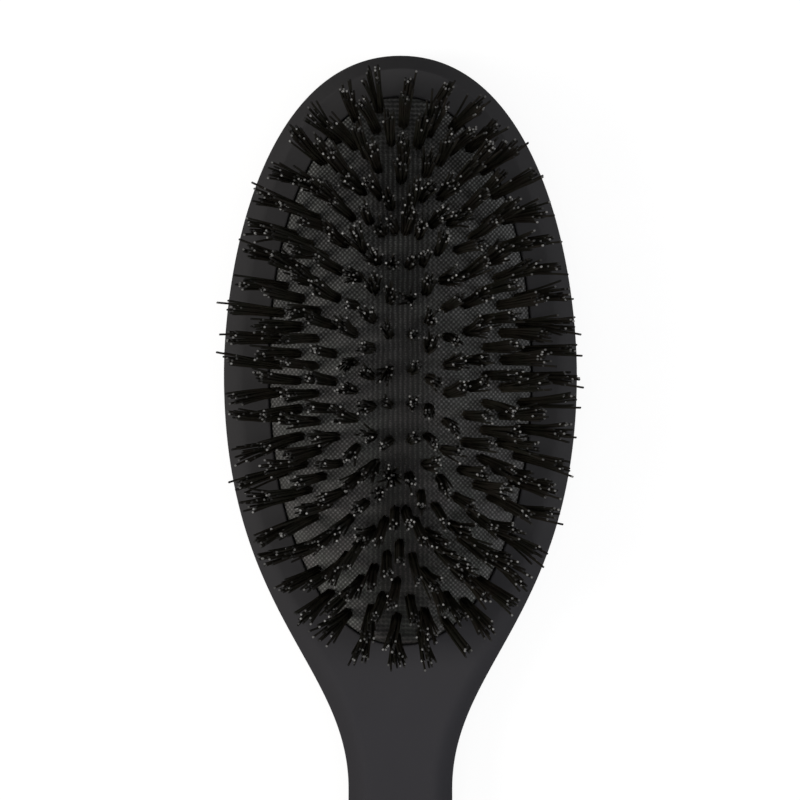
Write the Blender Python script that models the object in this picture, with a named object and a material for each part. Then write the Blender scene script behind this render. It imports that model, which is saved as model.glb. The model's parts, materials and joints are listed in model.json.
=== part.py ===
"""An oval dressing brush: a hollow two-shell body, a sprung air cushion, its woven facing and the tufts.

Metres, +Z up. The brush lies on its back. +Y runs to the tip of the head, -Y down the handle and +Z to the
bristle side. The origin is on the flat of the back, under the widest row of the head.
"""
import math

import bmesh
import bpy
from mathutils import Vector

# Room between pieces, and how far a cutter runs past what it cuts
CLEARANCE = 0.0003
OVERRUN = 0.001

# Outline of the body from above: widths, and reaches from the widest row of the head
HEAD_WIDTH = 0.0660
TIP_REACH = 0.0599
NECK_WIDTH = 0.01945
NECK_REACH = 0.0776
GRIP_WIDTH = 0.0216
GRIP_REACH = 0.1480
END_REACH = 0.1801

# How far the outline's curves hold their first and last direction, as shares of their width and reach
TIP_SHARES = (0.79, 0.33)
NECK_SHARES = (0.578, 0.301)
GRIP_SHARES = (0.40, 0.40)
END_SHARES = (0.60, 0.62)
TIP_STEPS = 14
NECK_STEPS = 16
GRIP_STEPS = 7
END_STEPS = 8

# Body heights and walls
BODY_DEPTH = 0.015
PARTING_HEIGHT = 0.009
TIP_SHOULDER = 0.0029
HEAD_SHOULDER = 0.0038
HANDLE_SHOULDER = 0.0043
TIP_SHOULDER_RUN = 0.0399
TIP_DROP = 0.0055
HEAD_DROP = 0.002
HANDLE_DROP = 0.004
TIP_ROUNDNESS = 1.15
HEAD_ROUNDNESS = 1.8
HANDLE_ROUNDNESS = 2.3
SHOULDER_STEPS = 4
WALL = 0.002
FACE_THICKNESS = 0.0016
INNER_CORNER = 0.0022
TONGUE_THICKNESS = 0.0008
TONGUE_HEIGHT = 0.0014
BACK_THICKNESS = 0.002
BACK_FLAT_SHARE = 0.3
BACK_STEPS = 7
NECK_LIFT = 0.0018
LIFT_REACH = 0.046

# Cushion: the flat face left beside and beyond the oval opening, the crown of the facing over the opening
# and the rubber pad under the facing
SIDE_FACE = 0.00845
TIP_FACE = 0.008
NECK_FACE = 0.0271
OPENING_SQUARENESS = 2.12
CUSHION_FACETS = 40
CROWN_HEIGHT = 0.008
CROWN_SHARPNESS = 2.6
RIDGE_WIDTH = 0.0012
FACING_THICKNESS = 0.0012
RUBBER_THICKNESS = 0.0013
FLANGE_REACH = 0.0014
FLANGE_THICKNESS = 0.0015

# Retaining ring and its screws
RING_THICKNESS = 0.0017
RING_REACH = 0.0044
RING_LAP = 0.0003
SCREW_COUNT = 8
SCREW_REACH = 0.0029
SCREW_RADIUS = 0.0006
SCREW_HEAD_RADIUS = 0.0013
SCREW_HEAD_HEIGHT = 0.001
SCREW_POINT = 0.0006
RECESS_SPAN = 0.0014
RECESS_WIDTH = 0.0003
RECESS_DEPTH = 0.0005
BOSS_RADIUS = 0.0012
PILOT_SKIN = 0.0011
ROUND_SIDES = 10

# Tufts: rows run parallel to the rim, at these shares of the way in from the rim to the middle. Each row's
# first tuft stands this share of its spacing past the tip.
ROW_SHARES = (0.084, 0.225, 0.355, 0.496, 0.649, 0.786, 0.916)
ROW_COUNTS = (48, 42, 38, 34, 29, 25, 18)
ROW_START_SHARES = (0.2, 0.11, 0.65, 0.1, 0.04, 0.52, 0.5)
ROW_PARTS = (4, 4, 4, 4, 2, 2, 1)
GUIDED_ROWS = 4
BUNDLE_ROOT_RADIUS = 0.00062
BUNDLE_TIP_RADIUS = 0.00085
BUNDLE_LENGTH = 0.0148
GUIDE_RADIUS = 0.00027
GUIDE_LENGTH = 0.0182
GUIDE_OFFSET = 0.0011
GUIDE_SPLAY = math.radians(4)
ROOT_DEPTH = 0.0006
STRAND_SIDES = 3
ARC_SAMPLES = 720

# Names of the parts of a row that is cut in four or in two, clockwise from the tip
QUARTERS = ("tip_right", "neck_right", "neck_left", "tip_left")
HALVES = ("right", "left")

# Finishes: colour, roughness and metallic
SOFT_TOUCH = ((0.032, 0.032, 0.034), 0.55, 0.0)
MOULDED_BLACK = ((0.012, 0.012, 0.013), 0.45, 0.0)
RUBBER = ((0.02, 0.02, 0.02), 0.7, 0.0)
STEEL = ((0.55, 0.55, 0.56), 0.3, 1.0)
BRISTLE = ((0.007, 0.006, 0.006), 0.3, 0.0)

# Heights and cushion sizes that follow from the sizes above
FACE_UNDERSIDE = BODY_DEPTH - FACE_THICKNESS
FRONT_EDGE = PARTING_HEIGHT + CLEARANCE / 2
BACK_EDGE = PARTING_HEIGHT - CLEARANCE / 2
FLANGE_TOP = FACE_UNDERSIDE - CLEARANCE
FLANGE_BOTTOM = FLANGE_TOP - FLANGE_THICKNESS
RING_TOP = FLANGE_BOTTOM - CLEARANCE
RING_BOTTOM = RING_TOP - RING_THICKNESS
FACING_EDGE = FACE_UNDERSIDE + FACING_THICKNESS
HALF_OPENING = HEAD_WIDTH / 2 - SIDE_FACE
HALF_LENGTH = (TIP_REACH - TIP_FACE + NECK_REACH - NECK_FACE) / 2
CUSHION_OFFSET = TIP_REACH - TIP_FACE - HALF_LENGTH


def clear_scene():
    for thing in list(bpy.data.objects):
        bpy.data.objects.remove(thing, do_unlink=True)


def finish(thing, look):
    """Gives an object its own Principled material."""
    colour, roughness, metallic = look
    made = bpy.data.materials.new(thing.name + "_finish")
    made.use_nodes = True
    shader = made.node_tree.nodes["Principled BSDF"]
    shader.inputs["Base Color"].default_value = (*colour, 1)
    shader.inputs["Roughness"].default_value = roughness
    shader.inputs["Metallic"].default_value = metallic
    made.diffuse_color = (*colour, 1)
    thing.data.materials.clear()
    thing.data.materials.append(made)


def object_from(name, shape, origin=Vector((0, 0, 0))):
    """Turns a closed bmesh, in world coordinates, into an object whose origin is at the given point."""
    bmesh.ops.recalc_face_normals(shape, faces=shape.faces)
    bmesh.ops.translate(shape, vec=-origin, verts=shape.verts)
    mesh = bpy.data.meshes.new(name)
    shape.to_mesh(mesh)
    shape.free()
    thing = bpy.data.objects.new(name, mesh)
    thing.location = origin
    bpy.context.scene.collection.objects.link(thing)
    return thing


def combine(thing, operation, tool):
    """Adds a Boolean and hides the shape that it uses."""
    modifier = thing.modifiers.new(tool.name, "BOOLEAN")
    modifier.operation = operation
    modifier.solver = "EXACT"
    modifier.object = tool
    tool.hide_render = True
    tool.display_type = "WIRE"


def smooth(thing):
    thing.data.shade_smooth()
    thing.data.set_sharp_from_angle(angle=math.radians(35))


def stack(shape, rings):
    """Joins a list of mirror-symmetrical rings, and closes the first and the last by strips across them."""
    layers = [[shape.verts.new(point) for point in ring] for ring in rings]
    count = len(layers[0])
    for low, high in zip(layers, layers[1:]):
        for k in range(count):
            after = (k + 1) % count
            shape.faces.new((low[k], low[after], high[after], high[k]))
    for layer in (layers[0], layers[-1]):
        for k in range(count // 2):
            strip = (layer[k], layer[k + 1], layer[-k - 1], layer[-k] if k else None)
            corners = dict.fromkeys(corner for corner in strip if corner)
            shape.faces.new(tuple(corners))


def stacked(name, rings):
    shape = bmesh.new()
    stack(shape, rings)
    return object_from(name, shape)


def bezier(start, leave, arrive, end, share):
    back = 1 - share
    return (
        start * back**3
        + leave * (3 * back**2 * share)
        + arrive * (3 * back * share**2)
        + end * share**3
    )


def right_side():
    """The right half of the body's outline, from the tip of the head to the end of the handle."""
    tip = Vector((0, TIP_REACH))
    widest = Vector((HEAD_WIDTH / 2, 0))
    neck = Vector((NECK_WIDTH / 2, -NECK_REACH))
    grip = Vector((GRIP_WIDTH / 2, -GRIP_REACH))
    end = Vector((0, -END_REACH))
    across, along = TIP_SHARES
    tip_leave = tip + Vector((across * widest.x, 0))
    tip_arrive = widest + Vector((0, along * TIP_REACH))
    leaving, arriving = NECK_SHARES
    neck_leave = widest - Vector((0, leaving * NECK_REACH))
    neck_arrive = neck + Vector((0, arriving * NECK_REACH))
    leaving, arriving = GRIP_SHARES
    grip_run = GRIP_REACH - NECK_REACH
    grip_leave = neck - Vector((0, leaving * grip_run))
    grip_arrive = grip + Vector((0, arriving * grip_run))
    along, across = END_SHARES
    end_leave = grip - Vector((0, along * (END_REACH - GRIP_REACH)))
    end_arrive = end + Vector((across * grip.x, 0))
    curves = (
        (tip, tip_leave, tip_arrive, widest, TIP_STEPS),
        (widest, neck_leave, neck_arrive, neck, NECK_STEPS),
        (neck, grip_leave, grip_arrive, grip, GRIP_STEPS),
        (grip, end_leave, end_arrive, end, END_STEPS),
    )
    points = [tip]
    for start, leave, arrive, stop, steps in curves:
        points += [bezier(start, leave, arrive, stop, k / steps) for k in range(1, steps + 1)]
    return points


def outline():
    """The whole outline, clockwise from above and starting at the tip."""
    right = right_side()
    return right + [Vector((-point.x, point.y)) for point in reversed(right[1:-1])]


def inset(loop, distance):
    """Moves each point of an outline inward by distance(y)."""
    moved = []
    for k, point in enumerate(loop):
        along = loop[(k + 1) % len(loop)] - loop[k - 1]
        outward = Vector((-along.y, along.x)).normalized()
        moved.append(point - outward * distance(point.y))
    return moved


def level(loop, height):
    return [Vector((point.x, point.y, height)) for point in loop]


def ease(share):
    share = min(max(share, 0), 1)
    return share * share * (3 - 2 * share)


def along_body(y, tip, head, handle):
    """A size that changes from the tip over the sides of the head into the handle."""
    toward_tip = (tip - head) * ease(1 - (TIP_REACH - y) / TIP_SHOULDER_RUN)
    toward_handle = (handle - head) * ease(-y / NECK_REACH)
    return head + toward_tip + toward_handle


def shoulder(y):
    """Width of the rounded edge of the face."""
    return along_body(y, TIP_SHOULDER, HEAD_SHOULDER, HANDLE_SHOULDER)


def shoulder_ring(edge, share):
    """The outline at a share of the way up the rounded edge of the face."""
    ring = []
    for point in inset(edge, lambda y: shoulder(y) * share):
        drop = along_body(point.y, TIP_DROP, HEAD_DROP, HANDLE_DROP)
        roundness = along_body(point.y, TIP_ROUNDNESS, HEAD_ROUNDNESS, HANDLE_ROUNDNESS)
        ring.append(Vector((point.x, point.y, BODY_DEPTH - drop * (1 - share) ** roundness)))
    return ring


def back_height(y):
    """Height of the back's lowest line, which lifts off the table at the neck."""
    return NECK_LIFT * (1 - ease(abs(y + NECK_REACH) / LIFT_REACH))


def toward_spine(loop, share):
    """Draws an outline in toward the middle line of the body."""
    head_end = TIP_REACH - HEAD_WIDTH / 2
    handle_end = GRIP_WIDTH / 2 - END_REACH
    drawn = []
    for point in loop:
        centre = Vector((0, min(max(point.y, handle_end), head_end)))
        drawn.append(centre + (point - centre) * share)
    return drawn


def bowl(loop, top, thickness):
    """Rings of the rounded back, from its upper edge down to its flat."""
    rings = []
    for k in range(1, BACK_STEPS + 1):
        turn = math.pi / 2 * k / BACK_STEPS
        share = BACK_FLAT_SHARE + (1 - BACK_FLAT_SHARE) * math.cos(turn)
        drawn = toward_spine(loop, share)
        ring = []
        for point in drawn:
            floor = back_height(point.y) + thickness
            ring.append(Vector((point.x, point.y, top - (top - floor) * math.sin(turn))))
        rings.append(ring)
    return rings


def cushion_point(angle, inward):
    """A point of an oval parallel to the rim, clockwise from the tip, with inward measured from the rim."""

    def powered(value):
        return math.copysign(abs(value) ** (2 / OPENING_SQUARENESS), value)

    x = (HALF_OPENING - inward) * powered(math.sin(angle))
    y = (HALF_LENGTH - inward) * powered(math.cos(angle))
    return Vector((x, CUSHION_OFFSET + y))


def crown(flat):
    """Height of the domed facing above its own edge, over a point of the plan."""
    across = abs(flat.x / HALF_OPENING) ** OPENING_SQUARENESS
    along = abs((flat.y - CUSHION_OFFSET) / HALF_LENGTH) ** OPENING_SQUARENESS
    outward = (across + along) ** (1 / OPENING_SQUARENESS)
    return CROWN_HEIGHT * (1 - min(outward, 1) ** CROWN_SHARPNESS)


def facing_point(angle, inward, below=0):
    flat = cushion_point(angle, inward)
    return Vector((flat.x, flat.y, FACING_EDGE + crown(flat) - below))


def facet_angles():
    return [2 * math.pi * k / CUSHION_FACETS for k in range(CUSHION_FACETS)]


def oval(inward, height):
    return level([cushion_point(angle, inward) for angle in facet_angles()], height)


def domed_oval(inward, below):
    return [facing_point(angle, inward, below) for angle in facet_angles()]


def ridge_inward():
    """Where the crown is closed by a narrow strip along its middle."""
    return HALF_OPENING - RIDGE_WIDTH / 2


def row_inwards():
    return [share * HALF_OPENING for share in ROW_SHARES]


def zone_edges():
    """Distances in from the rim at which the facing is cut between one row and the next."""
    rows = row_inwards()
    return [(a + b) / 2 for a, b in zip(rows, rows[1:])]


def screw_places():
    share_step = 1 / SCREW_COUNT
    angles = angles_at(-SCREW_REACH, [(k + 1 / 2) * share_step for k in range(SCREW_COUNT)])
    return [cushion_point(angle, -SCREW_REACH) for angle in angles]


def cylinder(shape, centre, radius, bottom, top):
    """Adds a closed upright cylinder to a bmesh."""
    made = bmesh.ops.create_cone(
        shape, cap_ends=True, segments=ROUND_SIDES, radius1=radius, radius2=radius, depth=top - bottom
    )
    middle = Vector((centre.x, centre.y, (top + bottom) / 2))
    bmesh.ops.translate(shape, vec=middle, verts=made["verts"])


def cylinders(name, centres, radius, bottom, top):
    shape = bmesh.new()
    for centre in centres:
        cylinder(shape, centre, radius, bottom, top)
    return object_from(name, shape)


def front_shell():
    """The face of the head, neck and handle, open below, with the oval opening and the screw bosses."""
    edge = outline()
    inside = inset(edge, lambda y: WALL)
    rings = [
        level(inset(edge, lambda y: WALL + INNER_CORNER), FACE_UNDERSIDE),
        level(inside, FACE_UNDERSIDE - INNER_CORNER),
        level(inside, FRONT_EDGE),
        level(edge, FRONT_EDGE),
    ]
    rings += [shoulder_ring(edge, k / SHOULDER_STEPS) for k in range(SHOULDER_STEPS + 1)]
    shell = stacked("front_shell", rings)
    bosses = cylinders(
        "boss_shapes",
        screw_places(),
        BOSS_RADIUS,
        FLANGE_BOTTOM,
        FACE_UNDERSIDE + FACE_THICKNESS / 2,
    )
    combine(shell, "UNION", bosses)
    opening = stacked(
        "opening_cutter", [oval(0, FACE_UNDERSIDE - OVERRUN), oval(0, BODY_DEPTH + OVERRUN)]
    )
    combine(shell, "DIFFERENCE", opening)
    pilots = cylinders(
        "pilot_cutter",
        screw_places(),
        SCREW_RADIUS + CLEARANCE,
        FLANGE_BOTTOM - OVERRUN,
        BODY_DEPTH - PILOT_SKIN,
    )
    combine(shell, "DIFFERENCE", pilots)
    smooth(shell)
    finish(shell, SOFT_TOUCH)


def back_shell():
    """The rounded back of head, neck and handle, with the tongue that locates it in the front shell."""
    edge = outline()
    tongue_outside = inset(edge, lambda y: WALL + CLEARANCE)
    tongue_inside = inset(edge, lambda y: WALL + CLEARANCE + TONGUE_THICKNESS)
    tongue_top = BACK_EDGE + TONGUE_HEIGHT
    rings = list(reversed(bowl(tongue_inside, BACK_EDGE, BACK_THICKNESS)))
    rings += [
        level(tongue_inside, BACK_EDGE),
        level(tongue_inside, tongue_top),
        level(tongue_outside, tongue_top),
        level(tongue_outside, BACK_EDGE),
        level(edge, BACK_EDGE),
    ]
    rings += bowl(edge, BACK_EDGE, 0)
    shell = stacked("back_shell", rings)
    smooth(shell)
    finish(shell, SOFT_TOUCH)


def rubber_pad():
    """The sprung membrane: a flange clamped behind the opening, and a dome under the facing."""
    under_facing = FACING_THICKNESS + CLEARANCE
    inwards = [CLEARANCE, *zone_edges()[::2], ridge_inward()]
    rings = [domed_oval(inward, under_facing) for inward in reversed(inwards)]
    rings += [oval(0, FLANGE_TOP), oval(-FLANGE_REACH, FLANGE_TOP), oval(-FLANGE_REACH, FLANGE_BOTTOM)]
    rings.append(oval(inwards[0], FLANGE_BOTTOM))
    below = under_facing + RUBBER_THICKNESS
    rings += [domed_oval(inward, below) for inward in inwards[1:]]
    pad = stacked("rubber_pad", rings)
    smooth(pad)
    finish(pad, RUBBER)


def closed_band(name, outer, inner, bottom, top):
    """An upright oval band between two distances from the rim."""
    shape = bmesh.new()
    rings = (oval(outer, bottom), oval(outer, top), oval(inner, top), oval(inner, bottom))
    layers = [[shape.verts.new(point) for point in ring] for ring in rings]
    for k, layer in enumerate(layers):
        following = layers[(k + 1) % len(layers)]
        for j in range(CUSHION_FACETS):
            after = (j + 1) % CUSHION_FACETS
            shape.faces.new((layer[j], layer[after], following[after], following[j]))
    return object_from(name, shape)


def retaining_ring():
    """The frame that clamps the pad's flange against the front shell."""
    ring = closed_band("pad_retaining_ring", -RING_REACH, RING_LAP, RING_BOTTOM, RING_TOP)
    holes = cylinders(
        "ring_hole_cutter",
        screw_places(),
        SCREW_RADIUS + CLEARANCE,
        RING_BOTTOM - OVERRUN,
        RING_TOP + OVERRUN,
    )
    combine(ring, "DIFFERENCE", holes)
    finish(ring, MOULDED_BLACK)


def screw_mesh():
    """One self-tapping screw, point up, with its origin under the head and a cross recess below."""
    length = BODY_DEPTH - PILOT_SKIN - CLEARANCE - (RING_BOTTOM - CLEARANCE)
    profile = (
        (0, -SCREW_HEAD_HEIGHT),
        (SCREW_HEAD_RADIUS * 2 / 3, -SCREW_HEAD_HEIGHT),
        (SCREW_HEAD_RADIUS, -SCREW_HEAD_HEIGHT / 2),
        (SCREW_HEAD_RADIUS, 0),
        (SCREW_RADIUS, 0),
        (SCREW_RADIUS, length - SCREW_POINT),
        (SCREW_RADIUS / 3, length),
        (0, length),
    )
    shape = bmesh.new()
    points = [shape.verts.new((radius, 0, height)) for radius, height in profile]
    edges = [shape.edges.new(pair) for pair in zip(points, points[1:])]
    bmesh.ops.spin(
        shape,
        geom=points + edges,
        axis=(0, 0, 1),
        cent=(0, 0, 0),
        angle=2 * math.pi,
        steps=ROUND_SIDES,
        use_merge=True,
    )
    bmesh.ops.remove_doubles(shape, verts=shape.verts, dist=SCREW_RADIUS / 100)
    screw = object_from("screw_shape", shape)
    cross = bmesh.new()
    for span, width in ((RECESS_SPAN, RECESS_WIDTH), (RECESS_WIDTH, RECESS_SPAN)):
        made = bmesh.ops.create_cube(cross, size=1)
        bmesh.ops.scale(cross, vec=(span, width, 2 * RECESS_DEPTH), verts=made["verts"])
        bmesh.ops.translate(cross, vec=(0, 0, -SCREW_HEAD_HEIGHT), verts=made["verts"])
    slots = object_from("recess_cutter", cross)
    combine(screw, "DIFFERENCE", slots)
    screw.modifiers[-1].use_self = True
    graph = bpy.context.evaluated_depsgraph_get()
    mesh = bpy.data.meshes.new_from_object(screw.evaluated_get(graph))
    for used in (screw, slots):
        bpy.data.objects.remove(used, do_unlink=True)
    return mesh


def ring_screws():
    mesh = screw_mesh()
    for number, place in enumerate(screw_places(), start=1):
        screw = bpy.data.objects.new(f"ring_screw_{number}", mesh)
        screw.location = (place.x, place.y, RING_BOTTOM - CLEARANCE)
        bpy.context.scene.collection.objects.link(screw)
        if number == 1:
            smooth(screw)
            finish(screw, STEEL)


def angles_at(inward, shares):
    """Angles at given shares of the way round an oval, counted by length from the tip."""
    angles = [2 * math.pi * k / ARC_SAMPLES for k in range(ARC_SAMPLES + 1)]
    points = [cushion_point(angle, inward) for angle in angles]
    travelled = [0.0]
    for a, b in zip(points, points[1:]):
        travelled.append(travelled[-1] + (b - a).length)
    found = []
    for share in shares:
        turns = math.floor(share)
        wanted = (share - turns) * travelled[-1]
        k = max(j for j in range(ARC_SAMPLES) if travelled[j] <= wanted)
        part = (wanted - travelled[k]) / (travelled[k + 1] - travelled[k])
        found.append(2 * math.pi * (turns + (k + part) / ARC_SAMPLES))
    return found


def oval_length(inward):
    points = [cushion_point(2 * math.pi * k / ARC_SAMPLES, inward) for k in range(ARC_SAMPLES + 1)]
    return sum((b - a).length for a, b in zip(points, points[1:]))


def tuft_angles(row, first, last):
    count = ROW_COUNTS[row]
    shares = [(k + ROW_START_SHARES[row]) / count for k in range(first, last)]
    return angles_at(row_inwards()[row], shares)


def frame_at(angle, inward):
    """The facing's outward normal at a root, and the direction along the row."""
    reach = CLEARANCE
    turn = reach / (HALF_OPENING + HALF_LENGTH)
    along = facing_point(angle + turn, inward) - facing_point(angle - turn, inward)
    inner = facing_point(angle, inward + reach) - facing_point(angle, inward - reach)
    normal = along.cross(inner).normalized()
    if normal.z < 0:
        normal = -normal
    return normal, along.normalized()


def strand(shape, root, direction, side, radii, length):
    """Adds one closed strand, as a prism of few sides."""
    across = (side - direction * side.dot(direction)).normalized()
    beyond = direction.cross(across)
    ends = []
    for centre, radius in ((root, radii[0]), (root + direction * length, radii[1])):
        ring = []
        for k in range(STRAND_SIDES):
            turn = 2 * math.pi * k / STRAND_SIDES
            outward = across * math.cos(turn) + beyond * math.sin(turn)
            ring.append(shape.verts.new(centre + outward * radius))
        ends.append(ring)
    low, high = ends
    for k in range(STRAND_SIDES):
        after = (k + 1) % STRAND_SIDES
        shape.faces.new((low[k], low[after], high[after], high[k]))
    shape.faces.new(low)
    shape.faces.new(high)


def tuft(shape, angle, inward, guided):
    """A bundle standing square on the facing, and in the guided rows a longer guide filament at its side."""
    normal, along = frame_at(angle, inward)
    root = facing_point(angle, inward) - normal * ROOT_DEPTH
    bundle_radii = (BUNDLE_ROOT_RADIUS, BUNDLE_TIP_RADIUS)
    strand(shape, root, normal, along, bundle_radii, ROOT_DEPTH + BUNDLE_LENGTH)
    if not guided:
        return
    splayed = normal * math.cos(GUIDE_SPLAY) + along * math.sin(GUIDE_SPLAY)
    beside = root + along * GUIDE_OFFSET
    strand(shape, beside, splayed, along, (GUIDE_RADIUS, GUIDE_RADIUS), ROOT_DEPTH + GUIDE_LENGTH)


def facing_strip(shape, angles, outer, inner):
    """Adds one closed strip of the facing between two angles and two distances from the rim."""
    sections = []
    for angle in angles:
        corners = ((outer, 0), (inner, 0), (inner, FACING_THICKNESS), (outer, FACING_THICKNESS))
        sections.append([shape.verts.new(facing_point(angle, *corner)) for corner in corners])
    for near, far in zip(sections, sections[1:]):
        for k in range(len(near)):
            after = (k + 1) % len(near)
            shape.faces.new((near[k], near[after], far[after], far[k]))
    shape.faces.new(sections[0])
    shape.faces.new(sections[-1])


def middle_strip(shape, outer):
    """Adds the closed oval in the middle of the facing."""
    ridge = ridge_inward()
    corners = ((ridge, FACING_THICKNESS), (outer, FACING_THICKNESS), (outer, 0), (ridge, 0))
    stack(shape, [domed_oval(*corner) for corner in corners])


def strip_angles(row, first, last):
    """Angles of a strip that starts and ends midway between two tufts, with half a clearance left there."""
    inward = row_inwards()[row]
    count = ROW_COUNTS[row]
    gap = CLEARANCE / 2 / oval_length(inward)
    lead = ROW_START_SHARES[row] - 1 / 2
    shares = ((first + lead) / count + gap, (last + lead) / count - gap)
    start, stop = angles_at(inward, shares)
    step = 2 * math.pi / CUSHION_FACETS
    inner = [k * step for k in range(-CUSHION_FACETS, 2 * CUSHION_FACETS)]
    return [start, *(angle for angle in inner if start + step / 4 < angle < stop - step / 4), stop]


def part_names(row):
    number = row + 1
    parts = ROW_PARTS[row]
    if parts == 1:
        return ["tufts_middle"]
    return [f"tufts_row_{number}_{where}" for where in (QUARTERS if parts == len(QUARTERS) else HALVES)]


def tuft_rows():
    """Rows of tufts on strips of the facing. Each row rides on an empty that marks where it is pressed."""
    edges = [CLEARANCE / 2, *zone_edges()]
    for row, (inward, count, parts) in enumerate(zip(row_inwards(), ROW_COUNTS, ROW_PARTS)):
        outer = edges[row] + CLEARANCE / 2
        inner = edges[row + 1] - CLEARANCE / 2 if row + 1 < len(edges) else None
        press = bpy.data.objects.new(f"press_axis_row_{row + 1}", None)
        press.location = (0, CUSHION_OFFSET, FACING_EDGE)
        bpy.context.scene.collection.objects.link(press)
        cuts = [round(count * k / parts) for k in range(parts + 1)]
        for name, first, last in zip(part_names(row), cuts, cuts[1:]):
            strip = bmesh.new()
            if parts == 1:
                middle_strip(strip, outer)
            else:
                facing_strip(strip, strip_angles(row, first, last), outer, inner)
            facing = object_from(name, strip, press.location)
            strands = bmesh.new()
            for angle in tuft_angles(row, first, last):
                tuft(strands, angle, inward, row < GUIDED_ROWS)
            bristles = object_from(name + "_strands", strands, press.location)
            combine(facing, "UNION", bristles)
            for thing in (facing, bristles):
                thing.parent = press
                thing.location = (0, 0, 0)
            finish(facing, BRISTLE)


clear_scene()
front_shell()
back_shell()
rubber_pad()
retaining_ring()
ring_screws()
tuft_rows()
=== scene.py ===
"""The looks of the oval dressing brush: smooth shells, woven facing, rubber membrane and full bristle tufts.

Metres, +Z up, in the frame of the solids. The brush lies on its back, with the bristles up and the tip of the
head toward +Y. Shapes that the solids share with these pieces follow the same sizes.
"""
import json
import math

import bmesh
import bpy
import numpy as np
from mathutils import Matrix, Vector


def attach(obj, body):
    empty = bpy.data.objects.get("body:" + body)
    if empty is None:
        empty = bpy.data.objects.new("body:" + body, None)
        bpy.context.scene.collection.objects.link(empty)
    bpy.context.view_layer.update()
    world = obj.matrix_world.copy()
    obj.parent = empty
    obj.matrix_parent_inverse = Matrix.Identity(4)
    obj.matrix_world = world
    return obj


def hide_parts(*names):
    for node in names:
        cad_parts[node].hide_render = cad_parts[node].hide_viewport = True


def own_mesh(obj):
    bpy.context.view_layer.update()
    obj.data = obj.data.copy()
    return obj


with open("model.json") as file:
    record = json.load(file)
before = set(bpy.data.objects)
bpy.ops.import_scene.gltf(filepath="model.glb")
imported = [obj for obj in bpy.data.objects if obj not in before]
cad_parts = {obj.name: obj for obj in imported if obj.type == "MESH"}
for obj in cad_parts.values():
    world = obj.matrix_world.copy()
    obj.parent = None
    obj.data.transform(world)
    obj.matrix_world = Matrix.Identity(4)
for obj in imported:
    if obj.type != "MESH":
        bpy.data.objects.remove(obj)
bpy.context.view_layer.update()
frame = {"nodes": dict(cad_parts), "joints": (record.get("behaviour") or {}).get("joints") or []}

# Room between pieces, as on the solids
CLEARANCE = 0.0003

# Outline of the body from above: widths, and reaches from the widest row of the head
HEAD_WIDTH = 0.0660
TIP_REACH = 0.0599
NECK_WIDTH = 0.01945
NECK_REACH = 0.0776
GRIP_WIDTH = 0.0216
GRIP_REACH = 0.1480
END_REACH = 0.1801

# How far the outline's curves hold their first and last direction, as shares of their width and reach
TIP_SHARES = (0.79, 0.33)
NECK_SHARES = (0.578, 0.301)
GRIP_SHARES = (0.40, 0.40)
END_SHARES = (0.60, 0.62)
TIP_STEPS = 56
NECK_STEPS = 72
GRIP_STEPS = 28
END_STEPS = 32

# Body heights and walls
BODY_DEPTH = 0.015
PARTING_HEIGHT = 0.009
TIP_SHOULDER = 0.0029
HEAD_SHOULDER = 0.0038
HANDLE_SHOULDER = 0.0043
TIP_SHOULDER_RUN = 0.0399
TIP_DROP = 0.0055
HEAD_DROP = 0.002
HANDLE_DROP = 0.004
TIP_ROUNDNESS = 1.15
HEAD_ROUNDNESS = 1.8
HANDLE_ROUNDNESS = 2.3
SHOULDER_STEPS = 20
WALL = 0.002
FACE_THICKNESS = 0.0016
INNER_CORNER = 0.0022
TONGUE_THICKNESS = 0.0008
TONGUE_HEIGHT = 0.0014
BACK_THICKNESS = 0.002
BACK_FLAT_SHARE = 0.3
BACK_STEPS = 26
INNER_BACK_STEPS = 8
CREASE_DEGREES = 50
NECK_LIFT = 0.0018
LIFT_REACH = 0.046
SEAM_ROUND = 0.0003
SEAM_STEPS = 3
RIM_ROUND = 0.00035
RIM_STEPS = 5
FLAT_BAND = 0.0002

# Cushion: the flat face left beside and beyond the opening, and the crown of the facing over the opening
SIDE_FACE = 0.00845
TIP_FACE = 0.008
NECK_FACE = 0.0271
OPENING_SQUARENESS = 2.12
CROWN_HEIGHT = 0.008
CROWN_SHARPNESS = 2.6
FACING_THICKNESS = 0.0012
FACING_ROUND = 0.0007
RUBBER_THICKNESS = 0.0013
FLANGE_REACH = 0.0014
FLANGE_THICKNESS = 0.0015
RIDGE_WIDTH = 0.0006
FACING_POINTS = 480
FACING_RINGS = 60
FACING_ROUND_STEPS = 5
UNDER_RINGS = 8
MEMBRANE_POINTS = 160
MEMBRANE_RINGS = 14
DIMPLE_DEPTH = 0.00012
DIMPLE_RADIUS = 0.0011
MAP_STEPS = 33

# Tufts: rows run parallel to the rim, at these shares of the way in from the rim to the middle. Each row's
# first tuft stands this share of its spacing past the tip.
ROW_SHARES = (0.084, 0.225, 0.355, 0.496, 0.649, 0.786, 0.916)
ROW_COUNTS = (48, 42, 38, 34, 29, 25, 18)
ROW_START_SHARES = (0.2, 0.11, 0.65, 0.1, 0.04, 0.52, 0.5)
BUNDLE_LENGTH = 0.0148
BUNDLE_RADIUS = 0.00082
FILAMENT_RADIUS = 0.00021
FEWEST_FILAMENTS = 16
MOST_FILAMENTS = 20
TIP_SPREAD = 0.001
TUFT_SWAY = 0.0014
GUIDE_LENGTH = 0.0176
GUIDE_OFFSET = 0.00075
ROOT_DEPTH = 0.0008
FILAMENT_SIDES = 5
FILAMENT_POINTS = 6
TAPER_START_SHARE = 0.992
TAPER_END_SHARE = 0.5
GOLDEN_ANGLE = math.pi * (3 - math.sqrt(5))
SEED_STEP = 100
ARC_SAMPLES = 720

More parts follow.
